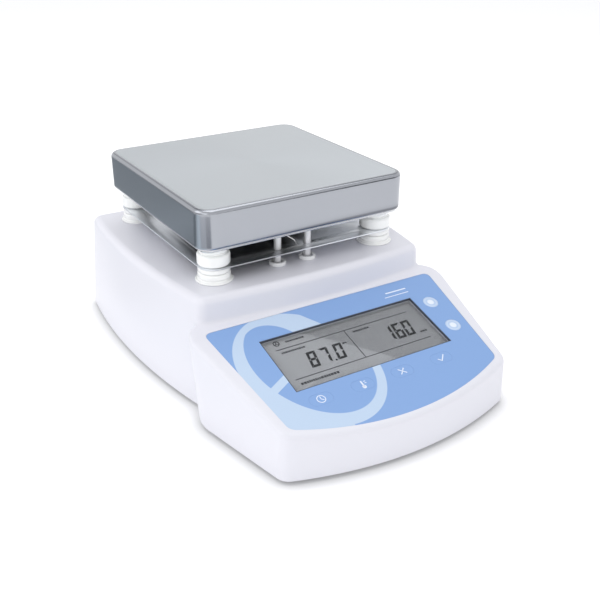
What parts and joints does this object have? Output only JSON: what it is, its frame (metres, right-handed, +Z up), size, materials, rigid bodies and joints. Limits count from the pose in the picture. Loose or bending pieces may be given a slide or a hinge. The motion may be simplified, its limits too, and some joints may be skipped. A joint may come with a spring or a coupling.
{
  "type": "hotplate magnetic stirrer",
  "caption": "Hotplate magnetic stirrer: a square steel plate on ceramic posts over a white housing with a sloped front display panel and a spinning magnet drive.",
  "frame": {"origin": "on the bench, under the middle of the footprint", "axes": "+Z up, +Y to the rear where the mains inlet is, +X to the right of someone facing the display"},
  "size_m": [0.1964, 0.2924, 0.1256],
  "materials": {
    "white_housing": "fine moulded satin",
    "base_sheet": "powder coated",
    "foot_rubber": "moulded",
    "screw_steel": "zinc plated",
    "rear_sheet": "fine powder coat",
    "overlay_film": "printed polyester film",
    "display_window": "clear",
    "lcd_cell": "grey reflective display cell",
    "lcd_bezel": "satin",
    "circuit_board": "solder mask",
    "switch_black": "moulded",
    "round_key_film": "embossed film",
    "label_key_film": "printed film",
    "ribbon_grey": "flat cable",
    "plate_steel": "satin top, bright skirt",
    "heater_aluminium": "cast",
    "mica": "mica sheet",
    "ceramic_fibre": "fibre board",
    "plain_steel": "plain",
    "shield_steel": "bright rolled",
    "sensor_lead": "silicone sleeved lead",
    "bead_ceramic": "glazed",
    "conduit_metal": "satin tube",
    "collar_ceramic": "glazed",
    "heater_wire": "silicone sleeve",
    "earth_copper": "bare wire",
    "motor_case": "black",
    "holder_aluminium": "machined",
    "magnet_nickel": "nickel plated",
    "motor_wire": "insulated",
    "transformer_core": "laminated, varnished",
    "sink_aluminium": "black anodised",
    "terminal_green": "moulded",
    "mains_wire": "insulated",
    "connector_black": "moulded",
    "drawer_grey": "moulded",
    "rocker_red": "translucent red",
    "socket_metal": "nickel plated",
    "insert_brass": "turned"
  },
  "bodies": {
    "chassis": {"upper_housing": "white_housing", "bottom_cover": "base_sheet", "rubber_feet": "foot_rubber", "cover_screws": "screw_steel", "rear_panel": "rear_sheet", "rear_panel_screws": "screw_steel", "panel_overlay": "overlay_film", "lcd_lens": "display_window", "lcd_glass": "lcd_cell", "lcd_frame": "lcd_bezel", "display_board": "circuit_board", "tact_switches": "switch_black", "board_screws": "screw_steel", "ribbon_cable": "ribbon_grey", "plate_pan": "plate_steel", "heater_plate": "heater_aluminium", "heating_element": "mica", "insulation_pad": "ceramic_fibre", "pressure_plate": "plain_steel", "plate_bottom_cover": "shield_steel", "temp_sensor": "sensor_lead", "post_studs": "screw_steel", "post_nuts": "screw_steel", "upper_beads": "bead_ceramic", "middle_rings": "bead_ceramic", "lower_beads": "bead_ceramic", "heat_shield": "shield_steel", "conduit_tubes": "conduit_metal", "conduit_collars": "collar_ceramic", "heater_leads": "heater_wire", "earth_wire": "earth_copper", "motor_bracket": "plain_steel", "bracket_screws": "screw_steel", "motor_body": "motor_case", "motor_screws": "screw_steel", "shaft_bearings": "plain_steel", "motor_lead": "motor_wire", "power_board": "circuit_board", "transformer": "transformer_core", "heatsink": "sink_aluminium", "terminal_block": "terminal_green", "mains_leads": "mains_wire", "iec_inlet": "connector_black", "inlet_pins": "plain_steel", "inlet_screws": "screw_steel", "switch_body": "connector_black", "probe_socket": "socket_metal", "rod_insert": "insert_brass"},
    "rotor": {"motor_shaft": "plain_steel", "magnet_holder": "holder_aluminium", "drive_magnets": "magnet_nickel", "set_screw": "switch_black"},
    "rocker": {"power_rocker": "rocker_red"},
    "fuse_carrier": {"fuse_drawer": "drawer_grey"},
    "key_up_cap": {"key_up": "round_key_film"},
    "key_down_cap": {"key_down": "round_key_film"},
    "key_time_cap": {"key_time": "label_key_film"},
    "key_temp_cap": {"key_temp": "label_key_film"},
    "key_exit_cap": {"key_exit": "label_key_film"},
    "key_enter_cap": {"key_enter": "label_key_film"}
  },
  "joints": [
    {"name": "rotor_spin", "type": "hinge", "parent": "chassis", "child": "rotor", "pos_m": [0, 0.048, 0.1], "axis": [0, 0, 1], "continuous": true},
    {"name": "rocker_tilt", "type": "hinge", "parent": "chassis", "child": "rocker", "pos_m": [0.008, 0.1325, 0.039], "axis": [0, 0, 1], "range_deg": [0, 18]},
    {"name": "fuse_pull", "type": "slide", "parent": "chassis", "child": "fuse_carrier", "axis": [0, 1, 0], "range_m": [0, 0.012]},
    {"name": "press_up", "type": "slide", "parent": "chassis", "child": "key_up_cap", "axis": [0, 0.274, -0.9617], "range_m": [0, 0.0004], "stiffness_N_per_m": 1500},
    {"name": "press_down", "type": "slide", "parent": "chassis", "child": "key_down_cap", "axis": [0, 0.274, -0.9617], "range_m": [0, 0.0004], "stiffness_N_per_m": 1500},
    {"name": "press_time", "type": "slide", "parent": "chassis", "child": "key_time_cap", "axis": [0, 0.274, -0.9617], "range_m": [0, 0.0004], "stiffness_N_per_m": 1500},
    {"name": "press_temp", "type": "slide", "parent": "chassis", "child": "key_temp_cap", "axis": [0, 0.274, -0.9617], "range_m": [0, 0.0004], "stiffness_N_per_m": 1500},
    {"name": "press_exit", "type": "slide", "parent": "chassis", "child": "key_exit_cap", "axis": [0, 0.274, -0.9617], "range_m": [0, 0.0004], "stiffness_N_per_m": 1500},
    {"name": "press_enter", "type": "slide", "parent": "chassis", "child": "key_enter_cap", "axis": [0, 0.274, -0.9617], "range_m": [0, 0.0004], "stiffness_N_per_m": 1500}
  ]
}
